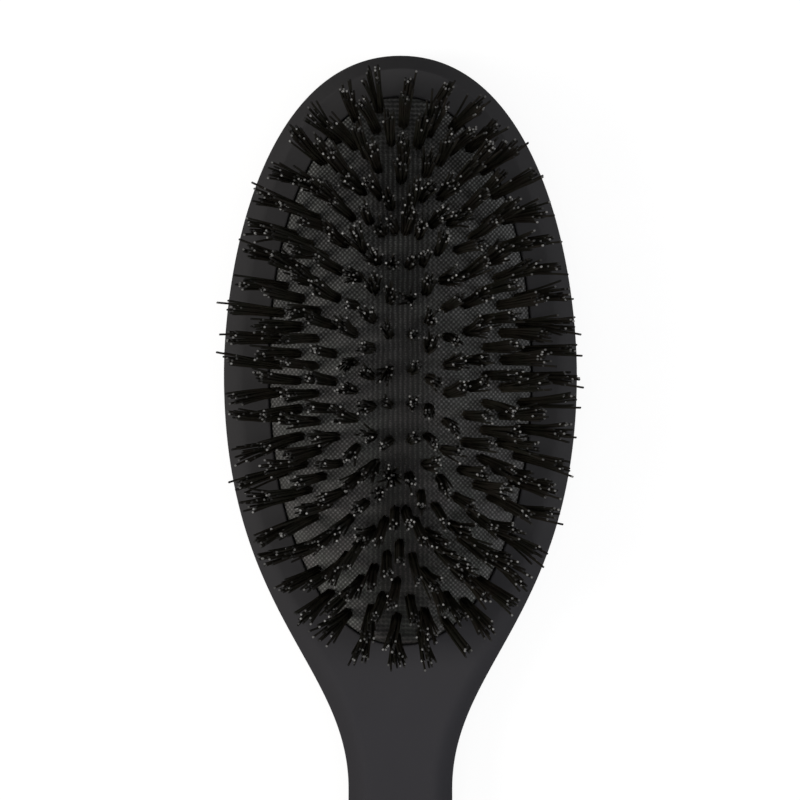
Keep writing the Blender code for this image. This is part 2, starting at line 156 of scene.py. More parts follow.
# How tufts and filaments differ from one another, as shares of their sizes. Of two ranges, the first is along
# the row and the second across it. A rarity is a power that makes the far end of a range rarer.
OPENING_SHARES = (0.1, 1.2)
SWAY_SHARES = ((-1, 1), (-0.7, 0.7))
TURN_RANGE = (0, 0.5)
STRAY_SHARE = 1.2
STRAY_RARITY = 3
PAINTED_GLINT_RARITY = 4
SPLAY_CURVE = 1.5
TIP_CROWDING = 3
LENGTH_SHARES = (0.82, 1.03)
THICKNESS_SHARES = (0.85, 1.1)
GUIDE_SPLAY_SHARES = ((-0.3, 1.2), (-0.5, 0.5))
GUIDE_LENGTH_SHARES = (0.92, 1.03)
GUIDE_THICKNESS_SHARES = (0.95, 1.15)

# Finishes. Colours are in linear light, the scale of a noise is in features per metre, and of two colours or
# roughnesses a noise blends the first into the second. These are the parts of a noise's range that it uses.
BROAD_NOISE = (0.3, 0.7)
MIDDLE_NOISE = (0.35, 0.65)
NARROW_NOISE = (0.4, 0.6)

# Coating of the shells, which is painted a little lighter from this stretch of the neck to the tip: painted
# light that offsets the shade the tufts cast on the head
HANDLE_COLOURS = ((0.0348, 0.0339, 0.0374, 1), (0.0418, 0.0407, 0.0449, 1))
HEAD_PAINTED_LIGHT_COLOURS = ((0.0382, 0.0373, 0.0385, 1), (0.0458, 0.0447, 0.0460, 1))
HEAD_PAINTED_LIGHT_STRETCH = (-0.065, -0.02)
HANDLING_SCALE = 55
COATING_GRAIN_SCALE = 5200
COATING_GRAIN_SHARE = 0.2
COATING_GRAIN_DEPTH = 0.00003
COATING_ROUGHNESS = (0.62, 0.72)
COATING_SPECULAR = 0.01

# Weave of the facing: how its threads run, and how far from the middle each look of it begins and is complete
THREAD_PITCH = 0.00046
THREAD_WANDERS = ((300, 2.2), (1500, 1.8))
THREAD_FOOT = -0.7
DOT_SHARPNESS = 2
LINE_SHARPNESS = 1.7
RUNG_SHARES = (0.35, 1.15)
LINE_SHARES = (0.7, 1.45)
FUZZ_SCALE = 2600
FUZZ_SHARES = (0.6, 1.2)
SLOPE_STRIP = (0.003, 0.0078)
SLOPE_SHARES = (0.18, 1)
END_STRIP = (0.036, 0.052)
END_SHARE = 0.8
RIM_STRIP = (0.017, 0.024)
RIM_SHARE = 0.45
# Painted sheen: over this stretch toward the tip the cloth is painted in lighter colours, standing in for the
# lights' reflection there
PAINTED_SHEEN_STRETCH = (-0.028, 0.022)
PAINTED_SHEEN_SHARE = 0.58
WEAVE_CLOUD_SCALE = 150
# The crown keeps the darker colours. The slope colours are painted glints of the side lights, brighter on
# some threads at random and dimmed toward the side rims.
CROWN_COLOURS = ((0.0262, 0.0300, 0.0228, 1), (0.0345, 0.0284, 0.0262, 1))
PAINTED_GLINT_COLOURS = ((0.121, 0.141, 0.116, 1), (0.150, 0.128, 0.132, 1))
BRIGHTER_GLINT_COLOUR = (0.232, 0.229, 0.222, 1)
BRIGHTER_GLINT_SHARE = 0.9
RIM_COLOUR = (0.060, 0.058, 0.055, 1)
# Painted shade in the hollows between the threads, deeper on the crown than on the slopes
HOLLOW_SHADE_COLOURS = ((0.0092, 0.0090, 0.0080, 1), (0.036, 0.036, 0.034, 1))
PAINTED_SHEEN_COLOURS = ((0.125, 0.128, 0.123, 1), (0.238, 0.241, 0.236, 1))
PAINTED_SHEEN_HOLLOW_COLOUR = (0.017, 0.017, 0.016, 1)
WEAVE_ROUGHNESS = (0.6, 0.44)
WEAVE_SPECULAR = 0.25
WEAVE_DEPTH = 0.00008

# Bristles: the body of a filament, the bands of painted light and shade along it with their shares at their
# two ends, and its tip, finished by grinding, with its painted glint
BRISTLE_COLOURS = ((0.0185, 0.0188, 0.0117, 1), (0.0240, 0.0190, 0.0135, 1))
BRISTLE_CLOUD_SCALE = 170
STREAK_SCALE = 900
STREAK_SHARE = 0.3
STREAK_COLOUR = (0.0160, 0.0138, 0.0098, 1)
# Painted light and shade along the filament: lighter near the root, against the shade among the filaments
# there, and darker toward the well-lit tips
PAINTED_LIGHT_BANDS = (
    ((0.05, 0.55), (0.75, 0), (0.0820, 0.0720, 0.0500, 1)),
    ((0.02, 0.22), (0.9, 0), (0.1900, 0.1650, 0.1150, 1)),
    ((0.5, 0.95), (0, 0.6), (0.0068, 0.0059, 0.0042, 1)),
)
# Painted glints: a few tips are painted light, standing in for the light they reflect; most stay dark
GROUND_TIP_GLINT_COLOURS = ((0.010, 0.0096, 0.0088, 1), (0.36, 0.356, 0.344, 1))
TIP_GLINT_STRETCH = (0.975, 0.992)
BRISTLE_ROUGHNESS = (0.5, 0.62)
BRISTLE_SPECULAR = 0.06
BRISTLE_SHADING_LIFT = (0, 0, 2)

# Rubber, ring and screws
RUBBER_COLOURS = ((0.012, 0.012, 0.012, 1), (0.032, 0.031, 0.030, 1))
RUBBER_BLOOM_SCALE = 180
RUBBER_GRAIN_SCALE = 3800
RUBBER_GRAIN_DEPTH = 0.00003
RUBBER_ROUGHNESS = (0.62, 0.8)
RING_COLOURS = ((0.009, 0.009, 0.010, 1), (0.018, 0.018, 0.019, 1))
RING_FLOW_SCALE = 120
RING_GRAIN_SCALE = 4200
RING_GRAIN_DEPTH = 0.00002
RING_ROUGHNESS = (0.38, 0.52)
SCREW_COLOURS = ((0.48, 0.48, 0.49, 1), (0.62, 0.61, 0.60, 1))
SCREW_PLATING_SCALE = 2400
SCREW_PLATING_DEPTH = 0.00001
SCREW_ROUGHNESS = (0.24, 0.4)

# Camera: straight above, framed as the photograph is
IMAGE_PIXELS = 800
PIXELS_PER_METRE = 5350
WIDEST_ROW_PIXEL = 374.6
MIDDLE_LINE_PIXEL = 400.4
CAMERA_DISTANCE = 0.8
SENSOR_WIDTH = 36
NEAREST_SEEN = 0.05
FARTHEST_SEEN = 20

# Floor and light. A softbox has its place, size, power in watts and colour.
FLOOR_REACH = 4
FLOOR_GAP = 0.0001
FLOOR_GREY = (0.2, 0.2, 0.2, 1)
FLOOR_GLOW = 0.87
FLOOR_ROUGHNESS = 0.9
WHITE = (1, 1, 1, 1)
SURROUND_LIGHT = 0.2
LIGHT_AIM = (0, -0.02, 0.02)
SOFTBOXES = (
    ("left_softbox", (-0.95, -0.2, 0.8), (0.5, 0.8), 9.2, (1, 0.97, 0.93)),
    ("right_softbox", (0.85, -0.14, 0.7), (0.5, 0.8), 4.7, (0.94, 0.96, 1)),
    ("top_softbox", (0, -0.2, 1.29), (0.7, 0.7), 3.7, (1, 0.99, 1)),
)

# Heights and cushion sizes that follow from the sizes above
FACE_UNDERSIDE = BODY_DEPTH - FACE_THICKNESS
FRONT_EDGE = PARTING_HEIGHT + CLEARANCE / 2
BACK_EDGE = PARTING_HEIGHT - CLEARANCE / 2
FLANGE_TOP = FACE_UNDERSIDE - CLEARANCE
FLANGE_BOTTOM = FLANGE_TOP - FLANGE_THICKNESS
FACING_EDGE = FACE_UNDERSIDE + FACING_THICKNESS
HALF_OPENING = HEAD_WIDTH / 2 - SIDE_FACE
HALF_LENGTH = (TIP_REACH - TIP_FACE + NECK_REACH - NECK_FACE) / 2
CUSHION_OFFSET = TIP_REACH - TIP_FACE - HALF_LENGTH


# ---------------------------------------------------------------- meshes

def object_from(name, mesh):
    thing = bpy.data.objects.new(name, mesh)
    bpy.context.scene.collection.objects.link(thing)
    return thing


def mesh_from(name, shape, sharp_angle=None):
    """Turns a closed bmesh into a smooth mesh with its faces pointing out."""
    bmesh.ops.recalc_face_normals(shape, faces=shape.faces)
    mesh = bpy.data.meshes.new(name)
    shape.to_mesh(mesh)
    shape.free()
    mesh.shade_smooth()
    if sharp_angle:
        mesh.set_sharp_from_angle(angle=math.radians(sharp_angle))
    return mesh


def add_ring(shape, points):
    return [shape.verts.new(point) for point in points]


def join_rings(shape, rings):
    for low, high in zip(rings, rings[1:]):
        count = len(low)
        for k in range(count):
            after = (k + 1) % count
            shape.faces.new((low[k], low[after], high[after], high[k]))


def cap_ring(shape, ring):
    """Closes a mirror-symmetrical ring by strips across it."""
    for k in range(len(ring) // 2):
        strip = (ring[k], ring[k + 1], ring[-k - 1], ring[-k] if k else None)
        shape.faces.new(tuple(dict.fromkeys(corner for corner in strip if corner)))


def closed_mesh(name, rings, sharp_angle=None):
    """A closed mesh from rings of points, whose first and last ring are capped."""
    shape = bmesh.new()
    made = [add_ring(shape, ring) for ring in rings]
    join_rings(shape, made)
    cap_ring(shape, made[0])
    cap_ring(shape, made[-1])
    return mesh_from(name, shape, sharp_angle)


def fill_between(shape, outer, inner):
    """Fills the level area between an outline and a hole in it."""
    edges = []
    for ring in (outer, inner):
        for a, b in zip(ring, ring[1:] + ring[:1]):
            edges.append(shape.edges.get((a, b)) or shape.edges.new((a, b)))
    bmesh.ops.triangle_fill(shape, edges=edges, use_beauty=True)


# ---------------------------------------------------------------- the body's outline

def bezier(start, leave, arrive, end, share):
    back = 1 - share
    return (
        start * back**3
        + leave * (3 * back**2 * share)
        + arrive * (3 * back * share**2)
        + end * share**3
    )


def right_side():
    """The right half of the body's outline, from the tip of the head to the end of the handle."""
    tip = Vector((0, TIP_REACH))
    widest = Vector((HEAD_WIDTH / 2, 0))
    neck = Vector((NECK_WIDTH / 2, -NECK_REACH))
    grip = Vector((GRIP_WIDTH / 2, -GRIP_REACH))
    end = Vector((0, -END_REACH))
    across, along = TIP_SHARES
    tip_leave = tip + Vector((across * widest.x, 0))
    tip_arrive = widest + Vector((0, along * TIP_REACH))
    leaving, arriving = NECK_SHARES
    neck_leave = widest - Vector((0, leaving * NECK_REACH))
    neck_arrive = neck + Vector((0, arriving * NECK_REACH))
    leaving, arriving = GRIP_SHARES
    grip_run = GRIP_REACH - NECK_REACH
    grip_leave = neck - Vector((0, leaving * grip_run))
    grip_arrive = grip + Vector((0, arriving * grip_run))
    along, across = END_SHARES
    end_leave = grip - Vector((0, along * (END_REACH - GRIP_REACH)))
    end_arrive = end + Vector((across * grip.x, 0))
    curves = (
        (tip, tip_leave, tip_arrive, widest, TIP_STEPS),
        (widest, neck_leave, neck_arrive, neck, NECK_STEPS),
        (neck, grip_leave, grip_arrive, grip, GRIP_STEPS),
        (grip, end_leave, end_arrive, end, END_STEPS),
    )
    points = [tip]
    for start, leave, arrive, stop, steps in curves:
        points += [bezier(start, leave, arrive, stop, k / steps) for k in range(1, steps + 1)]
    return points


def outline():
    """The whole outline, clockwise from above and starting at the tip."""
    right = right_side()
    return right + [Vector((-point.x, point.y)) for point in reversed(right[1:-1])]


def inset(loop, distance):
    """Moves each point of an outline inward by distance(y)."""
    moved = []
    for k, point in enumerate(loop):
        along = loop[(k + 1) % len(loop)] - loop[k - 1]
        outward = Vector((-along.y, along.x)).normalized()
        moved.append(point - outward * distance(point.y))
    return moved


def level(loop, height):
    return [Vector((point.x, point.y, height)) for point in loop]


def ease(share):
    share = min(max(share, 0), 1)
    return share * share * (3 - 2 * share)


def along_body(y, tip, head, handle):
    """A size that changes from the tip over the sides of the head into the handle."""
    toward_tip = (tip - head) * ease(1 - (TIP_REACH - y) / TIP_SHOULDER_RUN)
    toward_handle = (handle - head) * ease(-y / NECK_REACH)
    return head + toward_tip + toward_handle


def shoulder(y):
    """Width of the rounded edge of the face."""
    return along_body(y, TIP_SHOULDER, HEAD_SHOULDER, HANDLE_SHOULDER)


def shoulder_ring(edge, share):
    """The outline at a share of the way up the rounded edge of the face."""
    ring = []
    for point in inset(edge, lambda y: shoulder(y) * share):
        drop = along_body(point.y, TIP_DROP, HEAD_DROP, HANDLE_DROP)
        roundness = along_body(point.y, TIP_ROUNDNESS, HEAD_ROUNDNESS, HANDLE_ROUNDNESS)
        ring.append(Vector((point.x, point.y, BODY_DEPTH - drop * (1 - share) ** roundness)))
    return ring


def back_height(y):
    """Height of the back's lowest line, which lifts off the table at the neck."""
    return NECK_LIFT * (1 - ease(abs(y + NECK_REACH) / LIFT_REACH))


def toward_spine(loop, share):
    """Draws an outline in toward the middle line of the body."""
    head_end = TIP_REACH - HEAD_WIDTH / 2
    handle_end = GRIP_WIDTH / 2 - END_REACH
    drawn = []
    for point in loop:
        centre = Vector((0, min(max(point.y, handle_end), head_end)))
        drawn.append(centre + (point - centre) * share)
    return drawn


def bowl(loop, top, thickness, steps):
    """Rings of the rounded back, from its upper edge down to its flat."""
    rings = []
    for k in range(1, steps + 1):
        turn = math.pi / 2 * k / steps
        share = BACK_FLAT_SHARE + (1 - BACK_FLAT_SHARE) * math.cos(turn)
        ring = []
        for point in toward_spine(loop, share):
            floor = back_height(point.y) + thickness
            ring.append(Vector((point.x, point.y, top - (top - floor) * math.sin(turn))))
        rings.append(ring)
    return rings


def seam_rings(edge, height, direction):
    """Rings of the small round that breaks a shell's edge at the parting line, from its underside outward."""
    rings = []
    for k in range(SEAM_STEPS + 1):
        turn = math.pi / 2 * k / SEAM_STEPS
        drawn = inset(edge, lambda y, turn=turn: SEAM_ROUND * (1 - math.sin(turn)))
        rings.append(level(drawn, height + direction * SEAM_ROUND * (1 - math.cos(turn))))
    return rings


# ---------------------------------------------------------------- the cushion's shape

def cushion_point(angle, inward):
    """A point of an oval parallel to the rim, clockwise from the tip, with inward measured from the rim."""

    def powered(value):
        return math.copysign(abs(value) ** (2 / OPENING_SQUARENESS), value)

    x = (HALF_OPENING - inward) * powered(math.sin(angle))
    y = (HALF_LENGTH - inward) * powered(math.cos(angle))
    return Vector((x, CUSHION_OFFSET + y))


def crown(x, y):
    """Height of the domed facing above its own edge, over one place of the plan or an array of them."""
    across = np.abs(x / HALF_OPENING) ** OPENING_SQUARENESS
    along = np.abs((y - CUSHION_OFFSET) / HALF_LENGTH) ** OPENING_SQUARENESS
    outward = np.minimum((across + along) ** (1 / OPENING_SQUARENESS), 1)
    return CROWN_HEIGHT * (1 - outward**CROWN_SHARPNESS)


def facing_point(angle, inward, below=0):
    flat = cushion_point(angle, inward)
    return Vector((flat.x, flat.y, FACING_EDGE + crown(flat.x, flat.y) - below))


def even_angles(count):
    """Angles whose points are about evenly spaced round the rim, mirror-symmetrical from the tip."""
    half = count // 2
    right = angles_at(0, [k / count for k in range(1, half)])
    return [0, *right, math.pi, *(2 * math.pi - angle for angle in reversed(right))]


def oval(angles, inward, height):
    return level([cushion_point(angle, inward) for angle in angles], height)


def domed_oval(angles, inward, below):
    return [facing_point(angle, inward, below) for angle in angles]


def angles_at(inward, shares):
    """Angles at given shares of the way round an oval, counted by length from the tip."""
    angles = [2 * math.pi * k / ARC_SAMPLES for k in range(ARC_SAMPLES + 1)]
    points = [cushion_point(angle, inward) for angle in angles]
    lengths = [(b - a).length for a, b in zip(points, points[1:])]
    travelled = np.concatenate([[0], np.cumsum(lengths)])
    return [float(np.interp(share * travelled[-1], travelled, angles)) for share in shares]


def frame_at(angle, inward):
    """The facing's outward normal at a root, and the direction along the row."""
    reach = CLEARANCE
    turn = reach / (HALF_OPENING + HALF_LENGTH)
    along = facing_point(angle + turn, inward) - facing_point(angle - turn, inward)
    inner = facing_point(angle, inward + reach) - facing_point(angle, inward - reach)
    normal = along.cross(inner).normalized()
    if normal.z < 0:
        normal = -normal
    return normal, along.normalized()


def tuft_places(row):
    """Root, normal and direction along the row for each tuft of a row."""
    inward = ROW_SHARES[row] * HALF_OPENING
    count = ROW_COUNTS[row]
    places = []
    for angle in angles_at(inward, [(k + ROW_START_SHARES[row]) / count for k in range(count)]):
        normal, along = frame_at(angle, inward)
        places.append((facing_point(angle, inward), normal, along))
    return places


# ---------------------------------------------------------------- nodes

def put(tree, kind, values=(), **settings):
    """Adds a node, sets its properties, and fills or links its inputs by name or number."""
    made = tree.nodes.new(kind)
    for name, value in settings.items():
        setattr(made, name, value)
    for key, value in dict(values).items():
        if isinstance(value, bpy.types.NodeSocket):
            tree.links.new(value, made.inputs[key])
        else:
            made.inputs[key].default_value = value
    return made


def sums(tree, operation, *values):
    """A maths node on numbers or sockets."""
    return put(tree, "ShaderNodeMath", dict(enumerate(values)), operation=operation).outputs[0]


def vectors(tree, operation, *values):
    return put(tree, "ShaderNodeVectorMath", dict(enumerate(values)), operation=operation).outputs[0]


def mixed(tree, share, first, second):
    """A blend of two colours."""
    return put(tree, "ShaderNodeMix", {0: share, 6: first, 7: second}, data_type="RGBA").outputs[2]


def mixed_number(tree, share, first, second):
    return put(tree, "ShaderNodeMix", {0: share, 2: first, 3: second}, data_type="FLOAT").outputs[0]


def ranged(tree, value, low, high, to_low, to_high):
    made = put(tree, "ShaderNodeMapRange", {0: value, 1: low, 2: high, 3: to_low, 4: to_high})
    return made.outputs[0]


def noise(tree, where, scale, detail=2, roughness=0.5):
    values = {"Vector": where, "Scale": scale, "Detail": detail, "Roughness": roughness}
    return put(tree, "ShaderNodeTexNoise", values).outputs[0]


def material(name):
    """A new material, with its node tree and its shader."""
    made = bpy.data.materials.new(name)
    made.use_nodes = True
    return made, made.node_tree, made.node_tree.nodes["Principled BSDF"]


def object_place(tree):
    return put(tree, "ShaderNodeTexCoord").outputs["Object"]


def bump(tree, shader, height, distance, strength=1):
    made = put(tree, "ShaderNodeBump", {"Height": height, "Distance": distance, "Strength": strength})
    tree.links.new(made.outputs["Normal"], shader.inputs["Normal"])


def paint(tree, shader, colour, roughness):
    tree.links.new(colour, shader.inputs["Base Color"])
    tree.links.new(roughness, shader.inputs["Roughness"])


def soft_touch():
    """The shells' velvety coating: charcoal, with a fine grain and faint clouds of handling."""
    made, tree, shader = material("soft_touch_coating")
    place = object_place(tree)
    clouds = noise(tree, place, HANDLING_SCALE, detail=4, roughness=0.6)
    grain = noise(tree, place, COATING_GRAIN_SCALE, detail=3, roughness=0.6)
    share = mixed_number(tree, COATING_GRAIN_SHARE, clouds, grain)
    lengthways = put(tree, "ShaderNodeSeparateXYZ", {0: place}).outputs[1]
    # Painted light: the head is painted lighter, to offset the shade that falls on it under the tufts
    head = ranged(tree, lengthways, *HEAD_PAINTED_LIGHT_STRETCH, 0, 1)
    dark, light = (mixed(tree, head, *colours) for colours in zip(HANDLE_COLOURS, HEAD_PAINTED_LIGHT_COLOURS))
    roughness = ranged(tree, clouds, *BROAD_NOISE, *COATING_ROUGHNESS)
    paint(tree, shader, mixed(tree, share, dark, light), roughness)
    shader.inputs["Specular IOR Level"].default_value = COATING_SPECULAR
    bump(tree, shader, grain, COATING_GRAIN_DEPTH, strength=0.5)
    return made


def woven_facing():
    """A black plain weave of lustrous thread, whose threads follow the piece's own UV map in metres.

    The raised crossings of the lengthways threads carry painted glints, so the slopes show a check of bright
    dots. The threads come in pairs, which show as lines along the crown, and the crossways threads show at
    the ends. The hollows between the threads carry painted shade, and toward the tip the cloth carries a
    painted sheen.
    """
    made, tree, shader = material("woven_facing")
    place = object_place(tree)
    threads = put(tree, "ShaderNodeUVMap", uv_map="threads").outputs[0]
    sideways, lengthways, _ = put(tree, "ShaderNodeSeparateXYZ", {0: threads}).outputs
    aside = sums(tree, "ABSOLUTE", sideways)

    # Half a turn of these angles is one thread, and they wander a little.
    turned = vectors(tree, "MULTIPLY", threads, (math.pi / THREAD_PITCH, math.pi / THREAD_PITCH, 0))
    for scale, reach in THREAD_WANDERS:
        wander = put(tree, "ShaderNodeTexNoise", {"Vector": place, "Scale": scale, "Detail": 2}).outputs[1]
        wander = vectors(tree, "SUBTRACT", wander, (0.5, 0.5, 0.5))
        turned = vectors(tree, "ADD", turned, vectors(tree, "MULTIPLY", wander, (reach, reach, 0)))
    across, along, _ = put(tree, "ShaderNodeSeparateXYZ", {0: turned}).outputs
    cells = vectors(tree, "FLOOR", vectors(tree, "MULTIPLY", turned, (1 / math.pi, 1 / math.pi, 0)))
    picked = put(tree, "ShaderNodeTexWhiteNoise", {"Vector": cells}, noise_dimensions="2D").outputs[0]

    # How far each spot stands out of the cloth
    check = sums(tree, "MULTIPLY", sums(tree, "SINE", across), sums(tree, "SINE", along))
    dots = sums(tree, "POWER", ranged(tree, check, THREAD_FOOT, 1, 0, 1), DOT_SHARPNESS)
    pairs = ranged(tree, sums(tree, "COSINE", across), THREAD_FOOT, 1, 0, 1)
    picks = ranged(tree, sums(tree, "COSINE", along), THREAD_FOOT, 1, 0, 1)
    rungs = ranged(tree, sums(tree, "COSINE", sums(tree, "MULTIPLY", along, 2)), -1, 1, *RUNG_SHARES)
    lines = sums(tree, "MULTIPLY", sums(tree, "POWER", pairs, LINE_SHARPNESS), rungs)
    lines = sums(tree, "MULTIPLY", lines, ranged(tree, picked, 0, 1, *LINE_SHARES))
    slope = ranged(tree, aside, *SLOPE_STRIP, *SLOPE_SHARES)
    end = ranged(tree, sums(tree, "ABSOLUTE", lengthways), *END_STRIP, 0, END_SHARE)
    lift = mixed_number(tree, slope, mixed_number(tree, end, lines, picks), dots)
    fuzz = ranged(tree, noise(tree, place, FUZZ_SCALE, detail=1), *MIDDLE_NOISE, *FUZZ_SHARES)
    lift = sums(tree, "MULTIPLY", lift, fuzz)

    # The colour of the threads and of the hollows between them: painted shade in the hollows, painted glints
    # on the slopes and a painted sheen toward the tip
    clouds = ranged(tree, noise(tree, place, WEAVE_CLOUD_SCALE), *NARROW_NOISE, 0, 1)
    # The crown keeps the darker colours; the slopes get painted glints, brighter on some threads at random
    # and dimmed toward the side rims
    crown_cloth = mixed(tree, clouds, *CROWN_COLOURS)
    slope_glint = mixed(tree, clouds, *PAINTED_GLINT_COLOURS)
    slope_glint = mixed(tree, sums(tree, "MULTIPLY", picked, BRIGHTER_GLINT_SHARE), slope_glint, BRIGHTER_GLINT_COLOUR)
    slope_glint = mixed(tree, ranged(tree, aside, *RIM_STRIP, 0, RIM_SHARE), slope_glint, RIM_COLOUR)
    # Painted shade in the hollows between the threads
    cloth = mixed(tree, lift, mixed(tree, slope, *HOLLOW_SHADE_COLOURS), mixed(tree, slope, crown_cloth, slope_glint))
    # Painted sheen toward the tip, in lighter colours with darker hollows
    painted_sheen = mixed(tree, lift, PAINTED_SHEEN_HOLLOW_COLOUR, mixed(tree, slope, *PAINTED_SHEEN_COLOURS))
    painted_shine = ranged(tree, lengthways, *PAINTED_SHEEN_STRETCH, 0, PAINTED_SHEEN_SHARE)
    paint(tree, shader, mixed(tree, painted_shine, cloth, painted_sheen), ranged(tree, lift, 0, 1, *WEAVE_ROUGHNESS))
    shader.inputs["Specular IOR Level"].default_value = WEAVE_SPECULAR
    bump(tree, shader, lift, WEAVE_DEPTH)
    return made


def bristle_nylon():
    """Near-black nylon filament with a brownish cast, with painted light near the root and painted shade
    toward the tip, and tips finished by grinding, some of which carry painted glints.
    """
    made, tree, shader = material("bristle_nylon")
    along = put(tree, "ShaderNodeAttribute", attribute_name="tip_share").outputs["Fac"]
    painted_shine = put(tree, "ShaderNodeAttribute", attribute_name="painted_shine").outputs["Fac"]
    place = object_place(tree)
    streaks = noise(tree, place, STREAK_SCALE)
    clouds = ranged(tree, noise(tree, place, BRISTLE_CLOUD_SCALE), *NARROW_NOISE, 0, 1)
    body = mixed(tree, clouds, *BRISTLE_COLOURS)
    body = mixed(tree, ranged(tree, streaks, *MIDDLE_NOISE, 0, STREAK_SHARE), body, STREAK_COLOUR)
    # Painted light near the root offsets the shade among the filaments, and painted shade darkens the
    # well-lit outer half
    for stretch, shares, colour in PAINTED_LIGHT_BANDS:
        body = mixed(tree, ranged(tree, along, *stretch, *shares), body, colour)
    # Painted glints: some tips are painted light, standing in for the light they reflect
    tip_glint = mixed(tree, painted_shine, *GROUND_TIP_GLINT_COLOURS)
    colour = mixed(tree, ranged(tree, along, *TIP_GLINT_STRETCH, 0, 1), body, tip_glint)
    paint(tree, shader, colour, ranged(tree, streaks, *BROAD_NOISE, *BRISTLE_ROUGHNESS))
    shader.inputs["Diffuse Roughness"].default_value = 1
    shader.inputs["Specular IOR Level"].default_value = BRISTLE_SPECULAR
    facing = put(tree, "ShaderNodeNewGeometry").outputs["Normal"]
    lifted = vectors(tree, "NORMALIZE", vectors(tree, "ADD", facing, BRISTLE_SHADING_LIFT))
    tree.links.new(lifted, shader.inputs["Normal"])
    return made


def membrane_rubber():
    made, tree, shader = material("membrane_rubber")
    place = object_place(tree)
    bloom = noise(tree, place, RUBBER_BLOOM_SCALE, detail=4, roughness=0.65)
    grain = noise(tree, place, RUBBER_GRAIN_SCALE)
    roughness = ranged(tree, bloom, *BROAD_NOISE, *RUBBER_ROUGHNESS)
    paint(tree, shader, mixed(tree, bloom, *RUBBER_COLOURS), roughness)
    bump(tree, shader, grain, RUBBER_GRAIN_DEPTH, strength=0.6)
    return made


def ring_plastic():
    made, tree, shader = material("ring_plastic")
    place = object_place(tree)
    flow = noise(tree, place, RING_FLOW_SCALE, detail=3)
    grain = noise(tree, place, RING_GRAIN_SCALE)
    paint(tree, shader, mixed(tree, flow, *RING_COLOURS), ranged(tree, flow, *BROAD_NOISE, *RING_ROUGHNESS))
    bump(tree, shader, grain, RING_GRAIN_DEPTH, strength=0.5)
    return made


def screw_steel():
    made, tree, shader = material("screw_steel")
    plating = noise(tree, object_place(tree), SCREW_PLATING_SCALE, detail=3, roughness=0.6)
    roughness = ranged(tree, plating, *BROAD_NOISE, *SCREW_ROUGHNESS)
    paint(tree, shader, mixed(tree, plating, *SCREW_COLOURS), roughness)
    shader.inputs["Metallic"].default_value = 1
    bump(tree, shader, plating, SCREW_PLATING_DEPTH, strength=0.5)
    return made


# ---------------------------------------------------------------- the shells

def front_shell_skin(look):
    """The face of the head, neck and handle, with a rounded shoulder and a rounded rim round the opening."""
    shape = bmesh.new()
    edge = outline()
    inside = inset(edge, lambda y: WALL)
    rings = [
        level(inset(edge, lambda y: WALL + INNER_CORNER), FACE_UNDERSIDE),
        level(inside, FACE_UNDERSIDE - INNER_CORNER),
        level(inside, FRONT_EDGE),
    ]
    rings += seam_rings(edge, FRONT_EDGE, 1)
    rings += [shoulder_ring(edge, k / SHOULDER_STEPS) for k in range(SHOULDER_STEPS + 1)]
    rings.append(level(inset(edge, lambda y: shoulder(y) + FLAT_BAND), BODY_DEPTH))
    made = [add_ring(shape, ring) for ring in rings]
    join_rings(shape, made)
    angles = even_angles(FACING_POINTS)
    rings = [oval(angles, -RIM_ROUND - FLAT_BAND, BODY_DEPTH)]
    for k in range(RIM_STEPS + 1):
        turn = math.pi / 2 * k / RIM_STEPS
        height = BODY_DEPTH - RIM_ROUND * (1 - math.cos(turn))
        rings.append(oval(angles, -RIM_ROUND * (1 - math.sin(turn)), height))
    rings.append(oval(angles, 0, FACE_UNDERSIDE))
    rim = [add_ring(shape, ring) for ring in rings]
    join_rings(shape, rim)
    fill_between(shape, made[-1], rim[0])
    fill_between(shape, made[0], rim[-1])
    skin = object_from("front_shell_skin", mesh_from("front_shell_skin", shape, CREASE_DEGREES))
    skin.data.materials.append(look)
    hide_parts("front_shell")
    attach(skin, "body")


def back_shell_skin(look):
    """The rounded back, with the tongue that locates it in the front shell."""
    edge = outline()
    tongue_outside = inset(edge, lambda y: WALL + CLEARANCE)
    tongue_inside = inset(edge, lambda y: WALL + CLEARANCE + TONGUE_THICKNESS)
    tongue_top = BACK_EDGE + TONGUE_HEIGHT
    rings = list(reversed(bowl(tongue_inside, BACK_EDGE, BACK_THICKNESS, INNER_BACK_STEPS)))
    rings += [
        level(tongue_inside, BACK_EDGE),
        level(tongue_inside, tongue_top),
        level(tongue_outside, tongue_top),
        level(tongue_outside, BACK_EDGE),
    ]
    rings += seam_rings(edge, BACK_EDGE, -1)
    rings += bowl(edge, BACK_EDGE - SEAM_ROUND, 0, BACK_STEPS)
    skin = object_from("back_shell_skin", closed_mesh("back_shell_skin", rings, CREASE_DEGREES))
    skin.data.materials.append(look)
    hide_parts("back_shell")
    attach(skin, "body")


# ---------------------------------------------------------------- the cushion

def thread_map(mesh):
    """UV in metres: how far each point lies from the middle along the cloth, across and lengthways."""
    places = np.array([vertex.co for vertex in mesh.vertices])
    steps = np.linspace(0, 1, MAP_STEPS)[:, None]
    x, y = places[:, 0], places[:, 1]
    run_x, run_y = steps * x, CUSHION_OFFSET + steps * (y - CUSHION_OFFSET)
    rise_x, rise_y = np.diff(crown(run_x, y), axis=0), np.diff(crown(x, run_y), axis=0)
    u = np.sign(x) * np.hypot(np.diff(run_x, axis=0), rise_x).sum(axis=0)
    v = np.sign(y - CUSHION_OFFSET) * np.hypot(np.diff(run_y, axis=0), rise_y).sum(axis=0)
    layer = mesh.uv_layers.new(name="threads")
    corners = np.empty(len(mesh.loops), np.int32)
    mesh.loops.foreach_get("vertex_index", corners)
    layer.data.foreach_set("uv", np.stack([u, v], axis=1)[corners].ravel())


